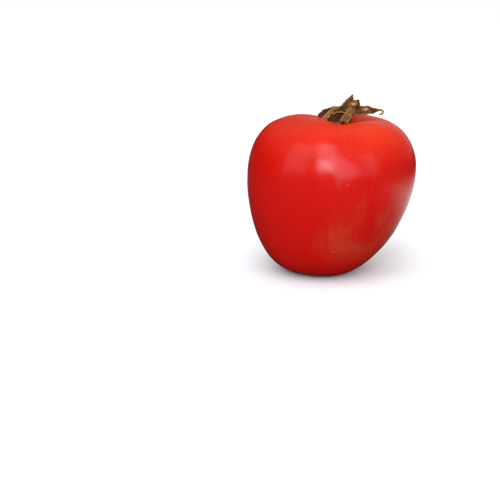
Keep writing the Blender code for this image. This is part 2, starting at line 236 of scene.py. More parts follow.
# Heights of the shoulders' colour, which is the skin's warmer tint and also painted light from above
SHOULDER_TINT_AND_LIGHT_HEIGHTS = (0.050, 0.074)
UPPER_HEIGHTS = (0.044, 0.060)
GLOW_REACH = (0.006, 0.034)   # distances from the stem between which its orange glow fades
GLOW_LEAST = 0.35             # the glow's strength where the broad noise is low
STREAK_NOISE = 9.0
STREAK_BEND = (3.0, 3.0, 9.0)
STREAK_STRENGTH = 0.3
MOTTLE_STRETCH = (1.0, 1.0, 0.45)
MOTTLE_CORE = 0.2             # the share of a patch's reach at full strength

# Each mottled or scuffed patch: its middle, its reach and its strength
MOTTLES = (
    ((0.019, -0.022, 0.024), 0.029, 0.60),
    ((-0.001, -0.028, 0.018), 0.013, 0.40),
    ((-0.015, 0.024, 0.020), 0.022, 0.32),
)
SCUFFS = (((-0.0016, -0.0317, 0.0430), 0.0045, 0.75),)

# Each kind of fleck: cells per metre, where its edge starts and ends as shares of a cell, the share
# of the cells left without one, its strength and its colour
FLECKS = (
    (640.0, 0.05, 0.18, 0.55, 0.06, "speck"),
    (230.0, 0.05, 0.11, 0.80, 0.30, "speck"),
    (170.0, 0.03, 0.10, 0.86, 0.45, "cork"),
)
SCAR_EDGE = (1.2 * MM, 2.1 * MM)
WAX_ROUGHNESS = (0.17, 0.27)
SCAR_ROUGHNESS = 0.75
PORE_SHARE = 0.3              # of the skin's relief; the fine noise has the rest
SKIN_RELIEF = 0.03 * MM
SKIN_SHADER = {
    "Specular IOR Level": 0.35,
    "IOR": 1.45,
    "Subsurface Weight": 0.25,
    "Subsurface Radius": (1.0, 0.18, 0.08),
    "Subsurface Scale": 2.2 * MM,
}

# Dried tissue; lengths on a piece's own pattern are in millimetres
DRIED_SHADER = {"Specular IOR Level": 0.08}
FIBRE_STRETCH = (1.0, 0.13, 1.0)
FINE_FIBRES = 3.1             # how much denser the fine fibres are than the coarse ones
FINE_SHARE = 0.3
STEM_PATTERN = {"tone_and_shade": 0.5, "fibres": 3.4, "blotches": 0.7}
SEPAL_PATTERN = {"fibres": 2.6, "blotches": 0.55}
DARK_RIDGE = 0.3              # how light the ridges of the darkest tissue are beside the brown
BLOTCH_STRENGTH = (0.85, 0.35)     # on the darkest tissue, and how much less on the palest
# Paler edges on the sepals are a painted highlight: its strength on the darkest tissue, and how much more
# on the palest
EDGE_HIGHLIGHT = (0.12, 0.6)        # on the darkest tissue, and how much more on the palest
# The stub darkens towards its broken end as painted shade: the length over which it does so, and how far
SHADED_END_REACH = 1.1
SHADED_END_STRENGTH = 0.85
# Pale patches of painted highlight on the stub and some sepals: the noise and wander of their edge, its
# marks, their strength and their stretch on the sepals
HIGHLIGHT_NOISE = 1100.0
HIGHLIGHT_WANDER = 1.1             # how far the noise moves a bare spot's edge, as a share of its reach
HIGHLIGHT_EDGE = (0.75, 1.35)
HIGHLIGHT_STRENGTH = 0.9
HIGHLIGHT_STRETCH = 1.5
DRIED_ROUGHNESS = (0.66, 0.88)
DRIED_RELIEF = 0.22 * MM

# Studio: the floor, and the directions and distances between which it and the surroundings change
FLOOR_SHADER = {"Roughness": 0.9, "Specular IOR Level": 0.2}
FLOOR_POINTS = 9
BEHIND_RIGHT = (0.76, 0.65, 0.0)
BEHIND_RIGHT_FADE = (0.014, 0.12)
NEAR_FADE = (0.08, 0.25)
LEFT_TO_RIGHT = (-0.9, 0.6)
LEFT_SURROUND = 0.15          # brightness at eye level on the left and on the right, as shares
RIGHT_SURROUND = 2.2
HORIZON_TO_OVERHEAD = (0.1, 0.9)
BACKDROP_DEPTH = (0.4, 0.95)
BACKDROP_SIDE = (-0.2, 0.3)
BACKDROP_HEIGHT = (0.0, 0.5)
LIGHT_DISTANCE = 4.0

# Each soft light: its bearing, elevation and roll in degrees, its width and height, and its power
SOFT_LIGHTS = {
    "window": (-100.0, 42.0, 0.0, (1.7, 5.4), 94.0),
    "window_low": (-77.0, 19.0, 40.0, (2.3, 3.4), 68.0),
    "window_bright": (-104.0, 22.0, 12.0, (1.2, 1.1), 28.0),
    "panel_left": (-147.0, 32.0, 0.0, (2.2, 4.2), 40.0),
    "panel_right": (-38.0, 24.0, 0.0, (0.9, 2.8), 11.0),
}


# Settings ---------------------------------------------------------------------------------------

def length(name, description, default):
    """A length that a user may change, in metres."""
    return FloatProperty(name=name, description=description, default=default, unit="LENGTH",
                         precision=5)


def share(name, description, default):
    """A share from 0 to 1 that a user may change."""
    return FloatProperty(name=name, description=description, default=default, min=0.0, max=1.0,
                         subtype="FACTOR")


def colour(name, description, default):
    """A linear colour that a user may change."""
    return FloatVectorProperty(name=name, description=description, default=default, size=3,
                               min=0.0, max=1.0, subtype="COLOR")


class FruitSettings(bpy.types.PropertyGroup):
    """Sizes and colours of the fruit."""
    width: length("Width", "Across the fruit, left to right", FRUIT_HIGH.x - FRUIT_LOW.x)
    depth: length("Depth", "Across the fruit, front to back", FRUIT_HIGH.y - FRUIT_LOW.y)
    height: length("Height", "Pole to pole, before the stem cavity and the flat spot", 62.6 * MM)
    foot_rise: length("Flat spot", "How far above the lower pole the flat spot lies", 0.4 * MM)
    cavity_x: length("Stem place X", "The stem's place from the fruit's own axis", 6.0 * MM)
    cavity_y: length("Stem place Y", "The stem's place from the fruit's own axis", 0.0)
    cavity_depth: length("Cavity depth", "Depth of the stem cavity", 3.0 * MM)
    cavity_reach: length("Cavity reach", "How far the stem cavity reaches", 9.0 * MM)
    lobe_height: length("Lobes", "Height of the low lobes round the fruit", 0.16 * MM)
    swell_height: length("Swells", "Height of the low waves over the skin", 0.035 * MM)
    pucker_depth: length("Puckers", "Depth of the small folds round the stem", 0.14 * MM)
    red: colour("Red", "Colour of the ripe skin", (0.485, 0.0030, 0.0011))
    # The shoulder colour is warmer than the red as the skin's own tint, and paler as painted light from
    # above
    shoulder: colour("Shoulder", "Colour of the skin on the shoulders", (0.545, 0.012, 0.0040))
    orange: colour("Orange", "Colour of the skin round the stem", (0.66, 0.042, 0.0065))
    mottle: colour("Mottle", "Colour of the unripe mottling", (0.40, 0.046, 0.014))
    speck: colour("Specks", "Colour of the pale specks", (0.90, 0.22, 0.09))
    cork: colour("Cork", "Colour of the scars", (0.28, 0.10, 0.045))


class CalyxSettings(bpy.types.PropertyGroup):
    """Sizes and colours of the stem and the sepals."""
    thickness: length("Thickness", "Thickness of a dried sepal", 0.26 * MM)
    fold_depth: length("Folds", "Depth of a sepal's lengthwise folds", 0.26 * MM)
    ruffle: length("Ruffle", "How far a sepal's edges wave up and down", 0.16 * MM)
    ragged: share("Ragged", "How uneven a sepal's edges are", 0.2)
    # The dark colour serves the tissue's own blotches, and also the painted shade on shaded sepals and the
    # stub's end
    dark: colour("Dark", "Colour of the darkest dried tissue", (0.030, 0.010, 0.003))
    brown: colour("Brown", "Colour of the dried tissue", (0.25, 0.084, 0.022))
    # The tan colour serves the pale fibres, and also the painted highlight along the sepals' edges
    tan: colour("Tan", "Colour of the palest dried tissue", (0.43, 0.215, 0.074))
    # This pale pinkish colour is a painted highlight, laid on the stub's top and on patches of some sepals
    highlight_patch: colour("Bare", "Colour of bare pale wood where the bark has gone", (0.46, 0.29, 0.21))


class StageSettings(bpy.types.PropertyGroup):
    """The floor, the lights and the camera."""
    floor_size: length("Floor", "Width of the floor", 8.0)
    floor_colour: colour("Floor colour", "Colour of the floor", (0.84, 0.84, 0.84))
    light: FloatProperty(name="Light", description="How bright all the soft lights are together",
                         default=1.0, min=0.0)
    overhead: FloatProperty(name="Overhead", description="Brightness of the surroundings above",
                            default=1.2, min=0.0)
    gloss_light: share("Light in the gloss", "Brightness of the surroundings in reflections", 0.16)
    surround: FloatProperty(name="Surround", description="Brightness of the surroundings at eye level",
                            default=0.25, min=0.0)
    backdrop: FloatProperty(name="Backdrop", description="Brightness of the surroundings behind",
                            default=0.35, min=0.0)
    floor_bounce: share("Floor bounce", "How much of its light the floor throws back up", 0.56)
    floor_reflection: share("Floor reflection", "Brightness of the floor as the skin reflects it", 0.025)
    light_tint: colour("Light tint", "Colour of the soft lights", (0.83, 0.92, 1.0))
    elevation: FloatProperty(name="Elevation", description="How far the camera looks down",
                             default=math.radians(15.0), subtype="ANGLE")
    distance: length("Distance", "From the camera to the fruit's middle", 0.5)
    lens: FloatProperty(name="Lens", description="Focal length in millimetres", default=91.35)
    aside: length("Aside", "How far right of the picture's middle the fruit stands", 31.07 * MM)
    above: length("Above", "How far above the picture's middle the fruit stands", 21.9 * MM)


class TomatoSettings(bpy.types.PropertyGroup):
    """Everything that a user may change."""
    fruit: PointerProperty(type=FruitSettings)
    calyx: PointerProperty(type=CalyxSettings)
    stage: PointerProperty(type=StageSettings)


# Meshes -----------------------------------------------------------------------------------------

def grid_faces(rows, columns, closed):
    """Corners of the faces of a grid whose points run along the columns first.

    Face (r, c) joins point (r, c) with its neighbours to the right and above. A closed grid joins
    its last column to its first.
    """
    across = columns if closed else columns - 1
    row, column = np.meshgrid(np.arange(rows - 1), np.arange(across), indexing="ij")
    following = (column + 1) % columns
    corners = [row * columns + column, row * columns + following,
               (row + 1) * columns + following, (row + 1) * columns + column]
    return np.stack(corners, axis=-1).reshape(-1, 4)


def fan_faces(pole, ring, upwards):
    """Triangles that close a ring of points onto one pole."""
    following = np.roll(ring, -1)
    pair = (ring, following) if upwards else (following, ring)
    return np.stack([np.full_like(ring, pole), pair[0], pair[1]], axis=-1)


def closed_faces(rings, sides):
    """Faces of a grid closed round, with a fan at each end onto a pole that comes after its points."""
    ring = np.arange(sides)
    poles = rings * sides
    return [grid_faces(rings, sides, True), fan_faces(poles, ring, False),
            fan_faces(poles + 1, ring + poles - sides, True)]


def make_piece(name, points, faces, material, node):
    """A mesh object at the origin that rides on the body and stands for a CAD node."""
    mesh = bpy.data.meshes.new(name)
    mesh.from_pydata(points.tolist(), [], [face.tolist() for group in faces for face in group])
    mesh.shade_smooth()
    mesh.materials.append(material)
    piece = bpy.data.objects.new(name, mesh)
    bpy.context.scene.collection.objects.link(piece)
    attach(piece, BODY)
    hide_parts(node)
    return piece


def store_grain(mesh, grain, rim):
    """Stores each point's place on its piece, in millimetres, and how near it lies to an edge."""
    layer = mesh.attributes.new("grain", "FLOAT_VECTOR", "POINT")
    layer.data.foreach_set("vector", grain.astype(np.float32).ravel())
    layer = mesh.attributes.new("rim", "FLOAT", "POINT")
    layer.data.foreach_set("value", rim.astype(np.float32).ravel())


def unit(vectors):
    """The vectors at a length of one."""
    return vectors / np.linalg.norm(vectors, axis=-1, keepdims=True)


def smooth_run(knots, stations):
    """Points along a smooth curve through the knots, at shares of the knots' own spacing.

    Between two knots the curve is a cubic that keeps the slope of the line through each knot's
    neighbours.
    """
    knots = np.asarray(knots, dtype=float)
    spacing = np.linalg.norm(np.diff(knots, axis=0), axis=1)
    marks = np.concatenate([[0.0], np.cumsum(spacing)])
    ahead = np.concatenate([knots[1:], knots[-1:]])
    behind = np.concatenate([knots[:1], knots[:-1]])
    mark_ahead = np.concatenate([marks[1:], marks[-1:]])
    mark_behind = np.concatenate([marks[:1], marks[:-1]])
    slopes = (ahead - behind) / (mark_ahead - mark_behind)[:, None]
    places = np.asarray(stations) * marks[-1]
    piece = np.clip(np.searchsorted(marks, places, side="right") - 1, 0, len(knots) - 2)
    length = spacing[piece][:, None]
    part = ((places - marks[piece]) / spacing[piece])[:, None]
    start = (1.0 + 2.0 * part) * (1.0 - part)**2 * knots[piece]
    start = start + part * (1.0 - part)**2 * length * slopes[piece]
    end = part**2 * (3.0 - 2.0 * part) * knots[piece + 1]
    end = end - part**2 * (1.0 - part) * length * slopes[piece + 1]
    return start + end


def waviness(places, waves, seed):
    """An uneven line between about -1 and 1: sine waves with seeded phases, lower if they are shorter."""
    draw = np.random.default_rng(seed)
    phases = draw.uniform(0.0, math.tau, len(waves))
    heights = draw.uniform(0.5, 1.0, len(waves)) * np.sqrt(waves[0] / np.array(waves))
    total = sum(height * np.sin(math.tau * wave * places + phase)
                for wave, phase, height in zip(waves, phases, heights))
    return total / math.sqrt(len(waves))


# The fruit's surface ----------------------------------------------------------------------------

def breadth(level, bearing):
    """Half breadth of the plain body, as a share: a circle's, times a cubic in the level."""
    shoulder = SHOULDER_FULLNESS + SHOULDER_FULLNESS_RIGHT * np.cos(bearing)
    waist = WAIST_FULLNESS + WAIST_FULLNESS_RIGHT * np.cos(bearing)
    fullness = 1.0 + shoulder * level + waist * level**2 + CROWN_FULLNESS * level**3
    return np.sqrt(np.maximum(1.0 - level**2, 0.0)) * fullness


def rise(fruit, level):
    """Height of the plain body at a level, flattened towards both poles."""
    return 0.5 * fruit.height * (level - POLE_FLATTENING * (level**3 - level))


def plain_scale(fruit):
    """Metres per share of breadth along X and Y, so that the body gets its width and depth."""
    bearing, angle = np.meshgrid(np.linspace(0.0, math.tau, SIZE_BEARINGS),
                                 np.linspace(-0.5 * math.pi, 0.5 * math.pi, SIZE_LEVELS))
    reach = breadth(np.sin(angle), bearing)
    return (fruit.width / np.ptp(reach * np.cos(bearing)),
            fruit.depth / np.ptp(reach * np.sin(bearing)))


def furrow_depth(level, bearing):
    """Depth of the shoulder furrows: bell curves round the fruit, over the upper half only."""
    depth = np.zeros_like(level)
    for middle, deepest, half_width in FURROWS:
        turn = np.degrees(bearing) - middle
        turn = (turn + 180.0) % 360.0 - 180.0
        depth = depth + deepest * np.exp(-(turn / half_width)**2)
    upper = np.maximum(level, 0.0)
    return depth * FURROW_PEAK * upper**2 * np.sqrt(np.maximum(1.0 - level**2, 0.0))


def cavity_depth(fruit, x, y):
    """Depth of the stem cavity at a place: a bell curve about the stem."""
    away = ((x - fruit.cavity_x)**2 + (y - fruit.cavity_y)**2) / fruit.cavity_reach**2
    return fruit.cavity_depth * np.exp(-away)


def skin(fruit, level, bearing):
    """Points of the skin: the plain body, less its furrows and its stem cavity."""
    scale_x, scale_y = plain_scale(fruit)
    furrow = furrow_depth(level, bearing)
    round_share = np.sqrt(np.maximum(1.0 - level**2, 0.0))
    x = (scale_x * breadth(level, bearing) - furrow * round_share) * np.cos(bearing)
    y = (scale_y * breadth(level, bearing) - furrow * round_share) * np.sin(bearing)
    z = rise(fruit, level) - furrow * level
    z = z - np.where(level > 0.0, cavity_depth(fruit, x, y), 0.0)
    return np.stack([x, y, z], axis=-1)


def skin_height(fruit, x, y):
    """Height of the skin above a place near the stem, found by halving the range of the level."""
    scale_x, scale_y = plain_scale(fruit)
    bearing = np.arctan2(y / scale_y, x / scale_x)
    reach = np.hypot(x / scale_x, y / scale_y)
    low = np.full_like(reach, LOWEST_TOP_LEVEL)
    high = np.ones_like(reach)
    for _ in range(HALVINGS):
        level = 0.5 * (low + high)
        inside = breadth(level, bearing) > reach
        low = np.where(inside, level, low)
        high = np.where(inside, high, level)
    return rise(fruit, level) - furrow_depth(level, bearing) * level - cavity_depth(fruit, x, y)


def axis_place(fruit):
    """Where the fruit's own axis stands: the body's middle on the CAD fruit's, its foot on its foot."""
    bearing, angle = np.meshgrid(np.linspace(0.0, math.tau, SIZE_BEARINGS),
                                 np.linspace(-0.5 * math.pi, 0.5 * math.pi, SIZE_LEVELS))
    points = skin(fruit, np.sin(angle), bearing).reshape(-1, 3)
    middle = 0.5 * (points.min(axis=0) + points.max(axis=0))
    aim = 0.5 * (np.array(FRUIT_LOW) + np.array(FRUIT_HIGH))
    foot = rise(fruit, -1.0) + fruit.foot_rise
    return np.array([aim[0] - middle[0], aim[1] - middle[1], FRUIT_LOW.z - foot])


def fine_relief(fruit, points, level, bearing):
    """How far the finished skin stands out from the plain one.

    Low lobes are a cosine round the fruit, strongest at the waist. Swells are sine waves in random
    directions through the body, lower if they are shorter. Puckers are an unevenly spaced cosine
    round the stem, within a bell curve of the distance from it.
    """
    waist = np.maximum(1.0 - level**2, 0.0)
    out = fruit.lobe_height * waist * np.cos(LOBES * bearing + LOBE_TURN + LOBE_TWIST * level)
    draw = np.random.default_rng(SWELL_SEED)
    ways = unit(draw.normal(size=(SWELLS, 3)))
    lengths = np.geomspace(SWELL_SHORTEST, SWELL_LONGEST, SWELLS)
    phases = draw.uniform(0.0, math.tau, SWELLS)
    for way, wave, phase in zip(ways, lengths, phases):
        height = fruit.swell_height * wave / SWELL_LONGEST
        out = out + height * np.sin(math.tau * (points @ way) / wave + phase)
    x = points[..., 0] - fruit.cavity_x
    y = points[..., 1] - fruit.cavity_y
    near = np.exp(-((np.hypot(x, y) - PUCKER_PLACE) / PUCKER_REACH)**2)
    turn = np.arctan2(y, x)
    folds = np.cos(PUCKERS * turn + PUCKER_SPREAD * np.sin(PUCKER_GROUPS * turn))
    return out - np.where(level > 0.0, fruit.pucker_depth * near * folds, 0.0)


def finished_skin(fruit, level, bearing):
    """Points of the finished skin: the plain one with its fine relief, standing on its flat spot.

    The foot is pressed flat: below the flat spot's height the skin levels off along a hyperbola.
    The blossom scar is a bell-shaped dimple in the middle of the flat spot.
    """
    points = skin(fruit, level, bearing)
    out = fine_relief(fruit, points, level, bearing)
    points = points + out[..., None] * unit(points)
    above = points[..., 2] - rise(fruit, -1.0) - fruit.foot_rise
    above = 0.5 * (above + np.sqrt(above**2 + FOOT_ROUNDING**2))
    away = np.hypot(points[..., 0], points[..., 1])
    dimple = np.where(level < 0.0, SCAR_DIMPLE * np.exp(-(away / SCAR_REACH)**2), 0.0)
    foot = rise(fruit, -1.0) + fruit.foot_rise
    points[..., 2] = foot + above + dimple
    return points


# Shader nodes -----------------------------------------------------------------------------------

def put(tree, kind, inputs=None, **settings):
    """Adds a node with its settings, and links or sets its inputs."""
    node = tree.nodes.new(kind)
    for name, value in settings.items():
        setattr(node, name, value)
    for name, value in (inputs or {}).items():
        if isinstance(value, bpy.types.NodeSocket):
            tree.links.new(value, node.inputs[name])
        else:
            node.inputs[name].default_value = value
    return node


def maths(tree, operation, *values):
    """The result of a maths operation on numbers or sockets."""
    return put(tree, "ShaderNodeMath", dict(enumerate(values)), operation=operation).outputs[0]


def times(tree, first, *others):
    """The product of numbers and sockets."""
    for other in others:
        first = maths(tree, "MULTIPLY", first, other)
    return first


def weighted(tree, main, other, share_of_other):
    """The sum of two values, each taken by its share."""
    return maths(tree, "ADD", times(tree, main, 1.0 - share_of_other),
                 times(tree, other, share_of_other))


def vector_maths(tree, operation, *values):
    """The vector result of an operation on vectors or sockets."""
    return put(tree, "ShaderNodeVectorMath", dict(enumerate(values)), operation=operation).outputs[0]


def over(tree, mask, below, above):
    """The colour below with the colour above laid over it by a mask."""
    below = (*below, 1.0) if not isinstance(below, bpy.types.NodeSocket) else below
    above = (*above, 1.0) if not isinstance(above, bpy.types.NodeSocket) else above
    node = put(tree, "ShaderNodeMix", {0: mask, 6: below, 7: above}, data_type="RGBA")
    return node.outputs[2]


def fade(tree, value, start, end, to_start=0.0, to_end=1.0):
    """A smooth step of a value between two marks."""
    node = put(tree, "ShaderNodeMapRange",
               {0: value, 1: start, 2: end, 3: to_start, 4: to_end},
               interpolation_type="SMOOTHSTEP")
    return node.outputs[0]


def noise(tree, vector, scale, detail=3.0, roughness=0.5, distortion=0.0):
    """A soft noise between 0 and 1."""
    inputs = {"Vector": vector, "Scale": scale, "Detail": detail, "Roughness": roughness,
              "Distortion": distortion}
    return put(tree, "ShaderNodeTexNoise", inputs).outputs["Fac"]


def spot(tree, vector, place, inner, outer):
    """A mask that is 1 within the inner distance of a place and 0 beyond the outer one."""
    away = put(tree, "ShaderNodeVectorMath", {0: vector, 1: place}, operation="DISTANCE")
    return fade(tree, away.outputs["Value"], inner, outer, 1.0, 0.0)


def new_material(name, values):
    """A material with one Principled shader with these values, its tree and the shader."""
    material = bpy.data.materials.new(name)
    material.use_nodes = True
    shader = material.node_tree.nodes["Principled BSDF"]
    for socket, value in values.items():
        shader.inputs[socket].default_value = value
    return material, material.node_tree, shader


def fibre_group():
    """The fibres of dried tissue, shared by the stem and the sepals.

    Vector is a place on the piece in millimetres, its X across the fibres and its Y along them.
    Fibres and Blotches are masks, and Height is the relief for a Bump node.
    """
    if "dried_fibres" in bpy.data.node_groups:
        return bpy.data.node_groups["dried_fibres"]
    group = bpy.data.node_groups.new("dried_fibres", "ShaderNodeTree")
    face = group.interface
    face.new_socket("Vector", in_out="INPUT", socket_type="NodeSocketVector")
    density = face.new_socket("Fibres per mm", in_out="INPUT", socket_type="NodeSocketFloat")
    density.default_value = 3.0
    blotch_size = face.new_socket("Blotches per mm", in_out="INPUT", socket_type="NodeSocketFloat")
    blotch_size.default_value = 0.5
    for name in ("Fibres", "Blotches", "Height"):
        face.new_socket(name, in_out="OUTPUT", socket_type="NodeSocketFloat")
    start = group.nodes.new("NodeGroupInput").outputs
    end = group.nodes.new("NodeGroupOutput").inputs
    long = vector_maths(group, "MULTIPLY", start["Vector"], FIBRE_STRETCH)
    coarse = noise(group, long, start["Fibres per mm"], detail=3.0, roughness=0.6, distortion=0.4)
    fine_scale = times(group, start["Fibres per mm"], FINE_FIBRES)
    fine = noise(group, long, fine_scale, detail=2.0)
    fibres = weighted(group, coarse, fine, FINE_SHARE)
    group.links.new(fade(group, fibres, *FIBRE_MARKS), end["Fibres"])
    patches = noise(group, start["Vector"], start["Blotches per mm"], detail=4.0, roughness=0.6)
    group.links.new(fade(group, patches, *CLOUD_MARKS), end["Blotches"])
    group.links.new(fibres, end["Height"])
    return group


# Materials --------------------------------------------------------------------------------------

def skin_material(fruit, place):
    """The ripe skin: red, more orange round the stem, mottled low on the right, finely specked."""
    material, tree, shader = new_material("ripe_skin", SKIN_SHADER)
    where = put(tree, "ShaderNodeTexCoord").outputs["Object"]
    stem = Vector((place[0] + fruit.cavity_x, place[1] + fruit.cavity_y, 0.0))
    height = put(tree, "ShaderNodeSeparateXYZ", {0: where}).outputs["Z"]
    broad = noise(tree, where, BROAD_NOISE, detail=2.0)
    fine = noise(tree, where, FINE_NOISE, detail=4.0, roughness=0.6)

    # shoulders: warmer towards the top in the skin's own tint, and paler there as painted light from
    # above, with a wandering edge
    lifted = maths(tree, "ADD", height, times(tree, broad, EDGE_WANDER))
    shoulders = fade(tree, lifted, *SHOULDER_TINT_AND_LIGHT_HEIGHTS)
    body = over(tree, shoulders, fruit.red, fruit.shoulder)

    # streaks: noise that changes mostly with the direction from the stem; glow: orange near the stem
    level = vector_maths(tree, "MULTIPLY", vector_maths(tree, "SUBTRACT", where, stem), (1.0, 1.0, 0.0))
    away = put(tree, "ShaderNodeVectorMath", {0: level}, operation="LENGTH").outputs["Value"]
    ray = vector_maths(tree, "NORMALIZE", level)
    bent = vector_maths(tree, "ADD", ray, vector_maths(tree, "MULTIPLY", where, STREAK_BEND))
    streak = fade(tree, noise(tree, bent, STREAK_NOISE, detail=3.0, roughness=0.65), *STREAK_MARKS)
    near = fade(tree, away, *GLOW_REACH, 1.0, 0.0)
    upper = fade(tree, height, *UPPER_HEIGHTS)
    streaks = times(tree, streak, upper, STREAK_STRENGTH)
    body = over(tree, streaks, body, fruit.orange)
    glow = times(tree, near, upper, fade(tree, broad, *GLOW_MARKS, GLOW_LEAST, 1.0))
    body = over(tree, glow, body, fruit.orange)

    # mottling low on the right of the front, fainter in its middle and at the back, and a few scuffs
    drawn_out = vector_maths(tree, "MULTIPLY", where, MOTTLE_STRETCH)
    clouds = noise(tree, drawn_out, MOTTLE_NOISE, detail=3.0, roughness=0.55, distortion=0.6)
    clouds = fade(tree, clouds, *CLOUD_MARKS)
    scuffed = fade(tree, fine, *SCUFF_MARKS)
    patches = [(clouds, patch) for patch in MOTTLES] + [(scuffed, patch) for patch in SCUFFS]
    for pattern, (middle, reach, strength) in patches:
        region = spot(tree, where, Vector(middle), MOTTLE_CORE * reach, reach)
        mask = times(tree, pattern, region, strength)
        body = over(tree, mask, body, fruit.mottle)

    # flecks: a fine pale dusting, and rarer specks that are pale or corky, in only some of the cells
    for scale, inner, outer, rarity, strength, tint in FLECKS:
        cells = put(tree, "ShaderNodeTexVoronoi", {"Vector": where, "Scale": scale, "Randomness": 1.0})
        dots = fade(tree, cells.outputs["Distance"], inner, outer, 1.0, 0.0)
        chosen = put(tree, "ShaderNodeSeparateColor", {0: cells.outputs["Color"]}).outputs["Red"]
        some = times(tree, maths(tree, "GREATER_THAN", chosen, rarity), strength)
        body = over(tree, times(tree, dots, some), body, getattr(fruit, tint))

    # blossom scar in the middle of the foot
    foot = Vector((place[0], place[1], 0.0))
    scar = spot(tree, where, foot, *SCAR_EDGE)
    body = over(tree, scar, body, fruit.cork)
    tree.links.new(body, shader.inputs["Base Color"])

    # gloss: slightly uneven wax, dull on cork
    wax = fade(tree, fine, *WAX_MARKS, *WAX_ROUGHNESS)
    dull = put(tree, "ShaderNodeMix", {0: scar, 2: wax, 3: SCAR_ROUGHNESS}, data_type="FLOAT").outputs[0]
    tree.links.new(dull, shader.inputs["Roughness"])
    pores = noise(tree, where, PORE_NOISE, detail=2.0)
    relief = weighted(tree, fine, pores, PORE_SHARE)
    bump = put(tree, "ShaderNodeBump", {"Height": relief, "Strength": 0.5, "Distance": SKIN_RELIEF})
    tree.links.new(bump.outputs["Normal"], shader.inputs["Normal"])
    return material


def dried_material(name, calyx, tone_and_shade, fibres, blotches, highlight_spot=None, shaded_end=None):
    """Dried tissue: brown fibres that run along it, darker blotches and paler ridges and edges.

    The tone runs from 0 (darkest) to 1 (palest); where a sepal lies in shade, its dark tone is partly
    painted shade. Fibres and blotches are how many there are to a millimetre. The spot, if given, is a
    place, a reach and a stretch along X where a pale patch of painted highlight shows. The dark end,
    if given, is the place along the piece, in millimetres, where its painted shade is full.
    """
    material, tree, shader = new_material(name, DRIED_SHADER)
    grain = put(tree, "ShaderNodeAttribute", attribute_name="grain").outputs["Vector"]
    where = put(tree, "ShaderNodeTexCoord").outputs["Object"]
    pattern = put(tree, "ShaderNodeGroup")
    pattern.node_tree = fibre_group()
    tree.links.new(grain, pattern.inputs["Vector"])
    pattern.inputs["Fibres per mm"].default_value = fibres
    pattern.inputs["Blotches per mm"].default_value = blotches
    deep = np.array(calyx.dark)
    middle = np.array(calyx.brown)
    pale = np.array(calyx.tan)
    # on sepals that lie in shade the dark tone is partly painted shade
    ground = deep + (middle - deep) * tone_and_shade
    ridge = DARK_RIDGE * middle + (pale - DARK_RIDGE * middle) * tone_and_shade
    body = over(tree, pattern.outputs["Fibres"], tuple(ground), tuple(ridge))
    shade = BLOTCH_STRENGTH[0] - BLOTCH_STRENGTH[1] * tone_and_shade
    shade = times(tree, pattern.outputs["Blotches"], shade)
    body = over(tree, shade, body, tuple(deep))
    # painted highlight along a sepal's edges, which also makes its thread pale
    rim = put(tree, "ShaderNodeAttribute", attribute_name="rim").outputs["Fac"]
    edges = times(tree, rim, EDGE_HIGHLIGHT[0] + EDGE_HIGHLIGHT[1] * tone_and_shade)
    body = over(tree, edges, body, tuple(pale))
    # painted shade towards the stub's broken end
    if shaded_end:
        along = put(tree, "ShaderNodeSeparateXYZ", {0: grain}).outputs["Y"]
        painted_end_shade = fade(tree, along, shaded_end - SHADED_END_REACH, shaded_end, 0.0, SHADED_END_STRENGTH)
        body = over(tree, painted_end_shade, body, tuple(deep))
    # painted highlight: a pale pinkish patch round a place on the piece, with a rough edge
    if highlight_spot:
        place, reach, stretch = highlight_spot
        rough_edge = times(tree, noise(tree, where, HIGHLIGHT_NOISE), HIGHLIGHT_WANDER * reach)
        offset = vector_maths(tree, "SUBTRACT", where, place)
        offset = vector_maths(tree, "MULTIPLY", offset, (1.0 / stretch, 1.0, 1.0))
        away = put(tree, "ShaderNodeVectorMath", {0: offset}, operation="LENGTH").outputs["Value"]
        inner, outer = (reach * edge for edge in HIGHLIGHT_EDGE)
        patch = fade(tree, maths(tree, "ADD", away, rough_edge), inner, outer, HIGHLIGHT_STRENGTH, 0.0)
        body = over(tree, patch, body, tuple(calyx.highlight_patch))
    tree.links.new(body, shader.inputs["Base Color"])
    rough = fade(tree, pattern.outputs["Fibres"], 0.0, 1.0, *DRIED_ROUGHNESS)
    tree.links.new(rough, shader.inputs["Roughness"])
    bump = put(tree, "ShaderNodeBump",
               {"Height": pattern.outputs["Height"], "Strength": 1.0, "Distance": DRIED_RELIEF})
    tree.links.new(bump.outputs["Normal"], shader.inputs["Normal"])
    return material


def floor_material(stage):
    """A plain pale matt floor that throws back less light than it shows.

    In reflections it is dim, except close by, behind and to the right.
    """
    material, tree, shader = new_material("pale_floor", FLOOR_SHADER)
    pale = tuple(stage.floor_colour)
    bounced = tuple(stage.floor_bounce * value for value in pale)
    dim = tuple(stage.floor_reflection * value for value in pale)
    where = put(tree, "ShaderNodeTexCoord").outputs["Object"]
    away = put(tree, "ShaderNodeVectorMath", {0: where}, operation="LENGTH").outputs["Value"]
    behind = put(tree, "ShaderNodeVectorMath", {0: where, 1: BEHIND_RIGHT}, operation="DOT_PRODUCT")
    behind_right = fade(tree, behind.outputs["Value"], *BEHIND_RIGHT_FADE)
    near_right = times(tree, behind_right, fade(tree, away, *NEAR_FADE, 1.0, 0.0))
    rays = put(tree, "ShaderNodeLightPath").outputs
    body = over(tree, rays["Is Glossy Ray"], bounced, over(tree, near_right, dim, pale))
    tree.links.new(over(tree, rays["Is Camera Ray"], body, pale), shader.inputs["Base Color"])
    return material


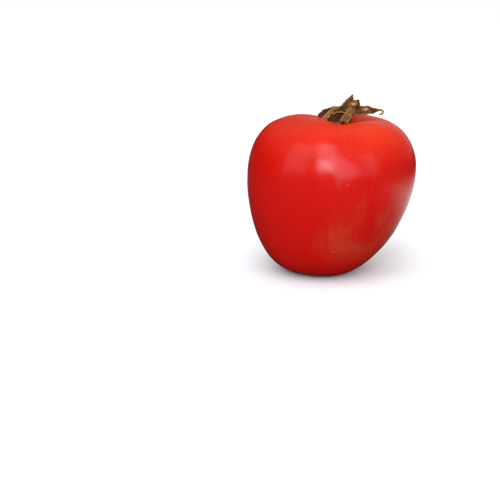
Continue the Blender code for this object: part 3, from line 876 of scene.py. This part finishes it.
def studio_world(stage):
    """Plain surroundings: bright overhead, dimmer at eye level and darkest on the left, with a band
    of light behind on the right. Reflections see them dimmer, apart from that band.
    """
    world = bpy.data.worlds.new("studio")
    world.use_nodes = True
    tree = world.node_tree
    way = put(tree, "ShaderNodeTexCoord").outputs["Generated"]
    parts = put(tree, "ShaderNodeSeparateXYZ", {0: way}).outputs
    low = fade(tree, parts["X"], *LEFT_TO_RIGHT,
               LEFT_SURROUND * stage.surround, RIGHT_SURROUND * stage.surround)
    light = fade(tree, parts["Z"], *HORIZON_TO_OVERHEAD, low, stage.overhead)
    reflected = put(tree, "ShaderNodeLightPath").outputs["Is Glossy Ray"]
    dimmed = fade(tree, reflected, 0.0, 1.0, 1.0, stage.gloss_light)
    behind = times(tree, fade(tree, parts["Y"], *BACKDROP_DEPTH), fade(tree, parts["X"], *BACKDROP_SIDE),
                   fade(tree, parts["Z"], *BACKDROP_HEIGHT, stage.backdrop, 0.0))
    total = maths(tree, "ADD", times(tree, light, dimmed), behind)
    shader = tree.nodes["Background"]
    shader.inputs["Color"].default_value = (1.0, 1.0, 1.0, 1.0)
    tree.links.new(total, shader.inputs["Strength"])
    return world


# The stem and the sepals ------------------------------------------------------------------------

def receptacle_base(fruit):
    """The middle of the receptacle's underside, clear of the cavity's floor."""
    turn = np.arange(FOOT_SAMPLES) * math.tau / FOOT_SAMPLES
    x = fruit.cavity_x + RECEPTACLE_FOOT_RADIUS * np.cos(turn)
    y = fruit.cavity_y + RECEPTACLE_FOOT_RADIUS * np.sin(turn)
    height = skin_height(fruit, x, y).max() + RECEPTACLE_CLEARANCE
    return np.array([fruit.cavity_x, fruit.cavity_y, height])


def receptacle_lean(part):
    """How far the receptacle has leaned over at a share of its height."""
    return part * np.array([*RECEPTACLE_LEAN, RECEPTACLE_HEIGHT])


def stem_grid(fruit):
    """Points of the stem: a profile carried along the receptacle and the bent stub.

    The radius runs smoothly through the foot, the waist, the rim and the stub. Ridges are three
    cosines round the stem that turn along it. At the broken end the edge is rounded off by a cube
    and uneven (sines round the stem), and four rings fold back inside.
    """
    base = receptacle_base(fruit)
    top = base + receptacle_lean(1.0)
    rim = 1.0 - RIM_THICKNESS / RECEPTACLE_HEIGHT
    shares = (-FOOT_DEPTH, FLARE_PLACE * rim, WAIST_PLACE * rim, rim)
    path_knots = np.concatenate([[base + receptacle_lean(share) for share in shares],
                                 [top], top + MM * np.array(STUB_RUN)[1:]])
    spacing = np.linalg.norm(np.diff(path_knots, axis=0), axis=1)
    marks = np.concatenate([[0.0], np.cumsum(spacing)])
    stations = np.linspace(0.0, 1.0, STEM_STATIONS)
    middle = smooth_run(path_knots, stations)
    radius = smooth_run(np.stack([marks, STEM_RADII], axis=1), stations)[:, 1]
    ahead = unit(np.gradient(middle, axis=0))
    edge_share = np.clip((stations - 1.0) * marks[-1] / STUB_EDGE + 1.0, 0.0, 1.0)
    radius = radius * (1.0 - STUB_EDGE_LOSS * edge_share**3)
    fold_in, fold_ahead = np.array(STUB_END_RINGS).T
    rings = len(STUB_END_RINGS)
    middle = np.concatenate([middle, middle[-1] + (MM * fold_ahead)[:, None] * ahead[-1]])
    radius = np.concatenate([radius, fold_in * radius[-1]])
    along = np.concatenate([stations * marks[-1], marks[-1] + np.cumsum(np.full(rings, STUB_END_STEP))])
    ahead = np.concatenate([ahead, np.repeat(ahead[-1:], rings, axis=0)])
    first = unit(np.cross((0.0, 1.0, 0.0), ahead))
    second = np.cross(ahead, first)
    turn = np.arange(STEM_SIDES) * math.tau / STEM_SIDES
    drift = along[:, None] / RIDGE_DRIFT
    shifts = (RIDGE_TURNS[0] * np.sin(drift), RIDGE_TURNS[1] * drift, RIDGE_TURNS[2] * drift)
    ridges = sum(height * np.cos(number * turn + shift)
                 for (height, number), shift in zip(STEM_RIDGES, shifts))
    reach = radius[:, None] * (1.0 + ridges)
    jagged = STUB_JAG * waviness(turn / math.tau, STUB_JAG_WAVES, STUB_JAG_SEED)
    end_share = np.clip((along - marks[-1] + STUB_JAG_REACH) / STUB_JAG_REACH, 0.0, 1.0)**2
    shift = end_share[:, None] * jagged * np.minimum(radius / radius[STEM_STATIONS - 1], 1.0)[:, None]
    points = middle[:, None, :] + reach[..., None] * (np.cos(turn)[None, :, None] * first[:, None, :]
                                                      + np.sin(turn)[None, :, None] * second[:, None, :])
    points = points + shift[..., None] * ahead[:, None, :]
    round_place = np.broadcast_to(turn * STUB_RADIUS / MM, reach.shape)
    along_place = np.broadcast_to(along[:, None] / MM, reach.shape)
    grain = np.stack([round_place, along_place, np.zeros_like(round_place)], axis=-1)
    return points, grain


def sepal_width(sepal, stations):
    """Width along a sepal: a tapering root, a belly, and a tip or a thread at the tip's width."""
    part = np.minimum(stations / sepal["blade"], 1.0)
    belly = sepal["belly"] * np.sin(math.pi * part**sepal["belly_place"])
    return sepal["root"] * (1.0 - part) + belly + sepal["tip"] * part


def sepal_grid(fruit, calyx, sepal, seed):
    """Points of a sepal on a grid of stations along it and strips across it.

    The strip follows a smooth run. Across it bends to an arc whose angle changes from root to tip,
    with lengthwise folds (a cosine across), ruffled edges (sines along, growing with the square of
    the distance from the middle), uneven edges and a torn end (sines across, growing with the sixth
    power of the station). It stays clear of the skin.
    """
    seeds = range(seed, seed + 6 * SEED_STEP, SEED_STEP)
    left_seed, right_seed, fold_seed, right_ruffle_seed, left_ruffle_seed, tear_seed = seeds
    bearing = math.radians(sepal["bearing"])
    away = np.array([math.cos(bearing), math.sin(bearing), 0.0])
    root = receptacle_base(fruit) + receptacle_lean(1.0 - 0.5 * RIM_THICKNESS / RECEPTACLE_HEIGHT)
    tuck = root + SEPAL_TUCK * RECEPTACLE_RADIUS * away
    root = root + (RECEPTACLE_RADIUS + RECEPTACLE_CLEARANCE) * away
    stations = np.linspace(0.0, 1.0, SEPAL_STATIONS + 1)
    across = np.linspace(-1.0, 1.0, SEPAL_STRIPS + 1)
    middle = smooth_run(np.concatenate([[tuck], [root], root + MM * np.array(sepal["run"])]), stations)
    ahead = unit(np.gradient(middle, axis=0))
    root_face, tip_face = np.array(sepal["faces"])
    face = root_face + stations[:, None] * (tip_face - root_face)
    aside = unit(np.cross(ahead, face))
    face = np.cross(aside, ahead)

    width = 0.5 * sepal_width(sepal, stations)
    left = 1.0 + calyx.ragged * waviness(stations, EDGE_WAVES[0], left_seed)
    right = 1.0 + calyx.ragged * waviness(stations, EDGE_WAVES[1], right_seed)
    edge = np.where(across[None, :] < 0.0, left[:, None], right[:, None])
    half = width[:, None] * (1.0 + (edge - 1.0) * np.abs(across[None, :]))
    roll_root, roll_tip = sepal["roll"]
    roll = (roll_root + (roll_tip - roll_root) * stations)[:, None]
    side = half * np.sin(roll * across[None, :]) / roll
    lift = half * (1.0 - np.cos(roll * across[None, :])) / roll
    body = np.minimum(width / MM, 1.0)[:, None]
    drift = FOLD_DRIFT * waviness(stations, FOLD_WAVES, fold_seed)[:, None]
    folds = calyx.fold_depth * body * np.cos(math.pi * sepal["folds"] * across[None, :] + drift)
    right_ruffle = waviness(stations, RUFFLE_WAVES[1], right_ruffle_seed)[:, None]
    left_ruffle = waviness(stations, RUFFLE_WAVES[0], left_ruffle_seed)[:, None]
    ruffle = np.where(across[None, :] < 0.0, left_ruffle, right_ruffle)
    lift = lift + folds + calyx.ruffle * body * ruffle * across[None, :]**2
    grid = middle[:, None, :] + side[..., None] * aside[:, None, :] + lift[..., None] * face[:, None, :]
    torn = sepal["tear"] * waviness(0.5 * across, TEAR_WAVES, tear_seed)
    grid = grid + (stations[:, None]**6 * torn[None, :])[..., None] * ahead[:, None, :]

    floor = skin_height(fruit, grid[..., 0], grid[..., 1]) + SKIN_CLEARANCE + 0.5 * calyx.thickness
    grid[..., 2] = np.maximum(grid[..., 2], floor)
    run_length = np.linalg.norm(np.diff(middle, axis=0), axis=1).sum() / MM
    grain = np.stack([side / MM, np.broadcast_to(stations[:, None] * run_length, side.shape),
                      np.full_like(side, GRAIN_STEP * seed)], axis=-1)
    return grid, grain


# Operators --------------------------------------------------------------------------------------

class TOMATO_OT_make_fruit(bpy.types.Operator):
    """Makes the fruit: one closed skin on a grid of bearings and levels"""
    bl_idname = "tomato.make_fruit"
    bl_label = "Make Fruit"

    def execute(self, context):
        fruit = context.scene.tomato.fruit
        bearings = np.arange(FRUIT_SIDES) * math.tau / FRUIT_SIDES
        angles = np.linspace(-0.5 * math.pi, 0.5 * math.pi, FRUIT_ROWS + 1)
        bearing, angle = np.meshgrid(bearings, angles[1:-1])
        rows = finished_skin(fruit, np.sin(angle), bearing).reshape(-1, 3)
        poles = finished_skin(fruit, np.array([-1.0, 1.0]), np.zeros(2))
        place = axis_place(fruit)
        points = np.concatenate([rows, poles]) + place
        faces = closed_faces(FRUIT_ROWS - 1, FRUIT_SIDES)
        make_piece("ripe_fruit", points, faces, skin_material(fruit, place), "fruit")
        return {"FINISHED"}


class TOMATO_OT_make_stem(bpy.types.Operator):
    """Makes the stem: a receptacle with a rim, and a bent stub with a broken end"""
    bl_idname = "tomato.make_stem"
    bl_label = "Make Stem"

    def execute(self, context):
        settings = context.scene.tomato
        grid, grain = stem_grid(settings.fruit)
        place = axis_place(settings.fruit)
        poles = np.stack([grid[0].mean(axis=0), grid[-1].mean(axis=0)])
        points = np.concatenate([grid.reshape(-1, 3), poles]) + place
        faces = closed_faces(*grid.shape[:2])
        # the stub's pale patch near its bend is a painted highlight
        bend = receptacle_base(settings.fruit) + receptacle_lean(1.0) + MM * np.array(STUB_RUN)[2]
        highlight_patch = (Vector(bend + place + STUB_HIGHLIGHT_PLACE), STUB_HIGHLIGHT_REACH, STUB_HIGHLIGHT_STRETCH)
        # the stub's broken end gets painted shade
        material = dried_material("dried_stem", settings.calyx, **STEM_PATTERN, highlight_spot=highlight_patch,
                                  shaded_end=grain[STEM_STATIONS - 1, 0, 1])
        stem = make_piece("dried_stem", points, faces, material, "stem_stub")
        pole_grain = np.stack([grain[0].mean(axis=0), grain[-1].mean(axis=0)])
        grain = np.concatenate([grain.reshape(-1, 3), pole_grain])
        store_grain(stem.data, grain, np.zeros(len(grain)))
        return {"FINISHED"}


class TOMATO_OT_make_sepals(bpy.types.Operator):
    """Makes the seven dried sepals, each a folded strip along its own run"""
    bl_idname = "tomato.make_sepals"
    bl_label = "Make Sepals"

    def execute(self, context):
        settings = context.scene.tomato
        place = axis_place(settings.fruit)
        for seed, (name, sepal) in enumerate(SEPALS.items(), 1):
            grid, grain = sepal_grid(settings.fruit, settings.calyx, sepal, seed)
            highlight_patch = None
            # a sepal's pale patch is a painted highlight
            if "highlight_patch" in sepal:
                station, reach = sepal["highlight_patch"]
                row = grid[round(station * SEPAL_STATIONS)]
                highlight_patch = (Vector(row[SEPAL_STRIPS // 3] + place), reach, HIGHLIGHT_STRETCH)
            material = dried_material("dried_" + name, settings.calyx, sepal["tone_and_shade"],
                                      **SEPAL_PATTERN, highlight_spot=highlight_patch)
            faces = [grid_faces(SEPAL_STATIONS + 1, SEPAL_STRIPS + 1, False)]
            piece = make_piece("dried_" + name, grid.reshape(-1, 3) + place, faces, material, name)
            across = np.linspace(-1.0, 1.0, SEPAL_STRIPS + 1)
            stations = np.linspace(0.0, 1.0, SEPAL_STATIONS + 1)[:, None]
            thread = THREAD_PALENESS * np.clip((stations - sepal["blade"]) / THREAD_START, 0.0, 1.0)
            store_grain(piece.data, grain, np.maximum(across[None, :]**4, thread))
            wall = piece.modifiers.new("thickness", "SOLIDIFY")
            wall.thickness = settings.calyx.thickness
            wall.offset = 0.0
            smooth = piece.modifiers.new("smooth", "SUBSURF")
            smooth.levels = 1
            smooth.render_levels = 1
        return {"FINISHED"}


def soft_light(name, centre, bearing, elevation, roll, size, power, tint):
    """A rectangular soft light that looks at a place from a bearing and an elevation."""
    light = bpy.data.lights.new(name, "AREA")
    light.shape = "RECTANGLE"
    light.size, light.size_y = size
    light.energy = power
    light.color = tint
    lamp = bpy.data.objects.new(name, light)
    turn, tilt = math.radians(bearing), math.radians(elevation)
    way = Vector((math.cos(turn) * math.cos(tilt), math.sin(turn) * math.cos(tilt), math.sin(tilt)))
    lamp.location = centre + LIGHT_DISTANCE * way
    facing = way.to_track_quat("Z", "Y") @ Quaternion((0.0, 0.0, 1.0), math.radians(roll))
    lamp.rotation_euler = facing.to_euler()
    bpy.context.scene.collection.objects.link(lamp)


class TOMATO_OT_make_stage(bpy.types.Operator):
    """Makes the pale floor, the soft lights and the camera"""
    bl_idname = "tomato.make_stage"
    bl_label = "Make Stage"

    def execute(self, context):
        stage = context.scene.tomato.stage
        fruit = context.scene.tomato.fruit
        half = 0.5 * stage.floor_size
        x, y = np.meshgrid(*[np.linspace(-half, half, FLOOR_POINTS)] * 2)
        points = np.stack([x, y, np.full_like(x, FRUIT_LOW.z)], axis=-1).reshape(-1, 3)
        mesh = bpy.data.meshes.new("floor")
        mesh.from_pydata(points.tolist(), [], grid_faces(FLOOR_POINTS, FLOOR_POINTS, False).tolist())
        mesh.materials.append(floor_material(stage))
        floor = bpy.data.objects.new("floor", mesh)
        context.scene.collection.objects.link(floor)

        centre = Vector(axis_place(fruit))
        for name, (bearing, elevation, roll, size, power) in SOFT_LIGHTS.items():
            soft_light(name, centre, bearing, elevation, roll, size, stage.light * power, stage.light_tint)
        context.scene.world = studio_world(stage)
        context.scene.view_settings.view_transform = "Standard"

        lens = bpy.data.cameras.new("camera")
        lens.lens = stage.lens
        camera = bpy.data.objects.new("camera", lens)
        tilt = stage.elevation
        forward = Vector((0.0, math.cos(tilt), -math.sin(tilt)))
        up = Vector((0.0, math.sin(tilt), math.cos(tilt)))
        right = Vector((1.0, 0.0, 0.0))
        camera.location = centre - stage.distance * forward - stage.aside * right - stage.above * up
        camera.rotation_euler = (0.5 * math.pi - tilt, 0.0, 0.0)
        context.scene.collection.objects.link(camera)
        context.scene.camera = camera
        return {"FINISHED"}


class TOMATO_PT_panel(bpy.types.Panel):
    """Lists the steps and the sizes and colours that they use"""
    bl_idname = "TOMATO_PT_panel"
    bl_label = "Ripe Tomato"
    bl_space_type = "VIEW_3D"
    bl_region_type = "UI"
    bl_category = "Tomato"

    def draw(self, context):
        settings = context.scene.tomato
        for step in STEPS:
            self.layout.operator(step.bl_idname)
        for group in (settings.fruit, settings.calyx, settings.stage):
            box = self.layout.box()
            for name in group.__annotations__:
                box.prop(group, name)


STEPS = (TOMATO_OT_make_fruit, TOMATO_OT_make_stem, TOMATO_OT_make_sepals, TOMATO_OT_make_stage)
CLASSES = (FruitSettings, CalyxSettings, StageSettings, TomatoSettings, *STEPS, TOMATO_PT_panel)


def register():
    for item in CLASSES:
        bpy.utils.register_class(item)
    bpy.types.Scene.tomato = PointerProperty(type=TomatoSettings)


def unregister():
    del bpy.types.Scene.tomato
    for item in reversed(CLASSES):
        bpy.utils.unregister_class(item)


def main():
    register()
    bpy.ops.tomato.make_fruit()
    bpy.ops.tomato.make_stem()
    bpy.ops.tomato.make_sepals()
    bpy.ops.tomato.make_stage()
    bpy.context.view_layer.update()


if __name__ == "__main__":
    main()
